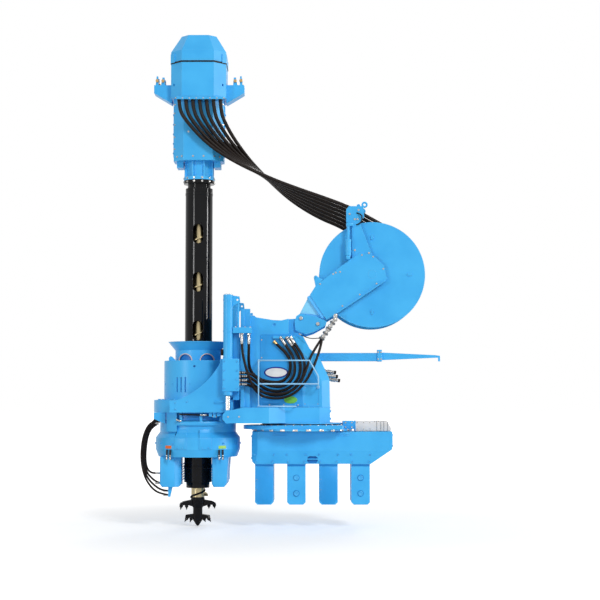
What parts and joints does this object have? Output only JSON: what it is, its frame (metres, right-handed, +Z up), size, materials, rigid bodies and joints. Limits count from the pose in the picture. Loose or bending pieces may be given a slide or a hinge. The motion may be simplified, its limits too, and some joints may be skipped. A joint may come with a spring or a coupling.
{
  "type": "press-in pile driver rig",
  "caption": "Hydraulic rig that clamps on driven piles and presses in the next one with a stroking, turning chuck, with a casing auger and hose reel.",
  "frame": {"origin": "midway between the four clamps, level with the tops of the piles that they hold", "axes": "X along the pile row with the chuck at minus X, Y across the rig, Z up"},
  "size_m": [4.2391, 1.594, 7.018],
  "materials": {
    "blue_paint": "gloss azure paint, darker in its bolted seams",
    "black_paint": "gloss black paint on the auger's casing and head",
    "chrome_rod": "hard chrome on the cylinder rods",
    "flight_steel": "worn steel with an olive gold tint",
    "grey_cover": "pale grey cover over the slide cylinder",
    "hose_rubber": "black hydraulic hose",
    "pale_rail": "pale blue paint on the guard tube",
    "steel_fitting": "plated hose fittings",
    "jaw_steel": "bare cast jaws"
  },
  "bodies": {
    "root": {"saddle": "blue_paint", "clamp_legs": "blue_paint"},
    "jaw_1": {"clamp_jaw_1": "jaw_steel"},
    "jaw_2": {"clamp_jaw_2": "jaw_steel"},
    "jaw_3": {"clamp_jaw_3": "jaw_steel"},
    "jaw_4": {"clamp_jaw_4": "jaw_steel"},
    "slide_frame": {"slide_frame": "blue_paint", "slew_ring": "blue_paint", "slide_bracket": "blue_paint", "slide_cover": "grey_cover"},
    "mast": {"feed_fittings": "steel_fitting", "feed_hoses": "hose_rubber", "guard_rail": "pale_rail", "guide_cylinder": "blue_paint", "hanger_boom": "blue_paint", "hose_guide": "blue_paint", "loop_hoses": "hose_rubber", "loop_manifold": "blue_paint", "mast_base": "blue_paint", "mast_body": "blue_paint", "mast_rails": "blue_paint", "reel_arm_far": "blue_paint", "reel_arm_foot": "blue_paint", "reel_arm_near": "blue_paint", "reel_axle": "blue_paint", "stroke_rods": "chrome_rod"},
    "reel": {"reel_drum": "blue_paint", "hose_winding": "hose_rubber"},
    "chuck_frame": {"chuck_deck": "blue_paint", "chuck_side_plates": "blue_paint", "guide_shoes": "blue_paint", "stroke_barrels": "blue_paint", "barrel_carriers": "blue_paint", "chuck_shell": "blue_paint", "chuck_funnel": "blue_paint", "casing_steady": "blue_paint", "hose_bracket": "blue_paint", "drive_upper": "blue_paint", "drive_cover": "blue_paint", "drive_lower": "blue_paint", "drive_ears": "blue_paint", "drive_output": "blue_paint", "casing_head": "black_paint", "casing": "black_paint", "frame_brackets": "blue_paint", "motor_hoses": "hose_rubber", "rotor_hoses": "hose_rubber"},
    "rotor": {"chuck_rotor": "blue_paint", "chuck_legs": "blue_paint", "leg_fitting": "steel_fitting"},
    "auger": {"auger_shaft": "flight_steel", "auger_flight": "flight_steel", "auger_head": "black_paint", "auger_picks": "black_paint"}
  },
  "joints": [
    {"name": "slide_travel", "type": "slide", "parent": "root", "child": "slide_frame", "axis": [1, 0, 0], "range_m": [-0.7, 0.05]},
    {"name": "mast_swing", "type": "hinge", "parent": "slide_frame", "child": "mast", "pos_m": [-0.146, 0, 0.688], "axis": [0, 0, 1], "range_deg": [-90, 90]},
    {"name": "chuck_stroke", "type": "slide", "parent": "mast", "child": "chuck_frame", "axis": [0, 0, 1], "range_m": [-0.16, 0.68], "deforming": ["motor_hoses", "loop_hoses"]},
    {"name": "rotor_turn", "type": "hinge", "parent": "chuck_frame", "child": "rotor", "pos_m": [-1.629, 0, 0.8], "axis": [0, 0, 1], "range_deg": [-90, 90], "deforming": ["rotor_hoses"]},
    {"name": "auger_spin", "type": "hinge", "parent": "chuck_frame", "child": "auger", "pos_m": [-1.629, 0, 3], "axis": [0, 0, 1], "continuous": true},
    {"name": "reel_spin", "type": "hinge", "parent": "mast", "child": "reel", "pos_m": [0.846, 0, 2.777], "axis": [0, 1, 0], "continuous": true},
    {"name": "jaw_1_grip", "type": "slide", "parent": "root", "child": "jaw_1", "axis": [0, -1, 0], "range_m": [0, 0.07]},
    {"name": "jaw_2_grip", "type": "slide", "parent": "root", "child": "jaw_2", "axis": [0, -1, 0], "range_m": [0, 0.07]},
    {"name": "jaw_3_grip", "type": "slide", "parent": "root", "child": "jaw_3", "axis": [0, -1, 0], "range_m": [0, 0.07]},
    {"name": "jaw_4_grip", "type": "slide", "parent": "root", "child": "jaw_4", "axis": [0, -1, 0], "range_m": [0, 0.07]}
  ],
  "couplings": [
    {"joint": "jaw_2_grip", "follows": "jaw_1_grip", "ratio": 1},
    {"joint": "jaw_3_grip", "follows": "jaw_1_grip", "ratio": 1},
    {"joint": "jaw_4_grip", "follows": "jaw_1_grip", "ratio": 1}
  ]
}
